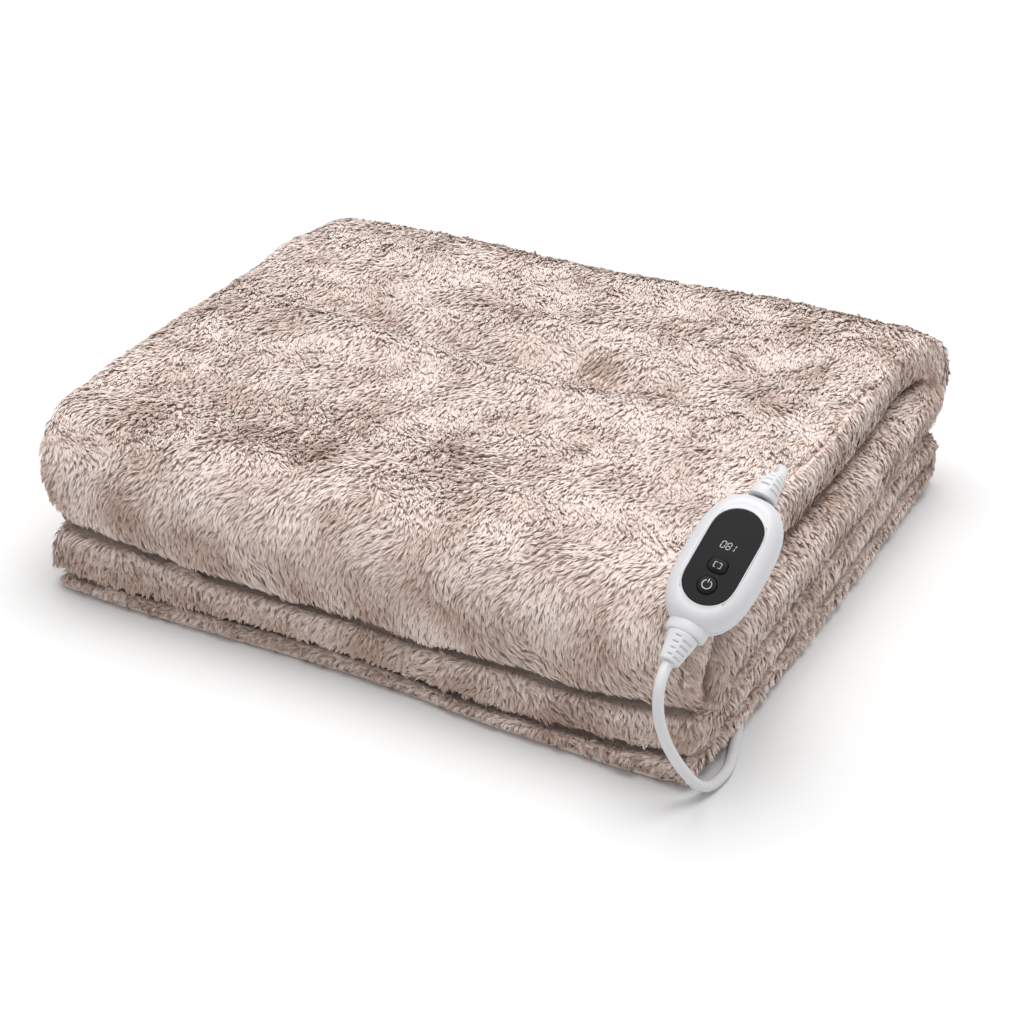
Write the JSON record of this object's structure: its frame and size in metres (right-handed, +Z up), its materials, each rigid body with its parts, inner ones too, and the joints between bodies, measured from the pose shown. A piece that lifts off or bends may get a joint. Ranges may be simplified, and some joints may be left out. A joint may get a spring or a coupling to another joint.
{
  "type": "electric heated blanket",
  "caption": "Plush electric heated throw folded back and forth, with its oval hand controller lying on the front shoulder and a mains cord that passes under the cloth to a coil and plug.",
  "frame": {"origin": "on the floor, under the middle of the box around the folded throw with its controller, without the mains cord", "axes": "+X along the front edge towards the controller's end, +Y from the front face to the back, +Z up"},
  "size_m": [0.5214, 0.5712, 0.1577],
  "materials": {
    "plush": "long soft pile, beige",
    "white_shell": "satin white",
    "black_panel": "smooth black",
    "black_key": "satin black",
    "white_sleeve": "soft white",
    "white_cord": "smooth white",
    "pin_metal": "nickel plated"
  },
  "bodies": {
    "throw": {"blanket": "plush", "controller_body": "white_shell", "control_panel": "black_panel", "relief_upper": "white_sleeve", "relief_lower": "white_sleeve", "short_lead": "white_cord", "cord_run": "white_cord", "cord_coil": "white_cord", "plug_body": "white_shell", "plug_pin_a": "pin_metal", "plug_pin_b": "pin_metal"},
    "power_key": {"power_button": "black_key"},
    "level_key": {"level_button": "black_key"}
  },
  "joints": [
    {"name": "power_press", "type": "slide", "parent": "throw", "child": "power_key", "axis": [-0.1121, 0.5487, -0.8285], "range_m": [0, 0.0007], "stiffness_N_per_m": 600},
    {"name": "level_press", "type": "slide", "parent": "throw", "child": "level_key", "axis": [-0.1121, 0.5487, -0.8285], "range_m": [0, 0.0007], "stiffness_N_per_m": 600}
  ]
}
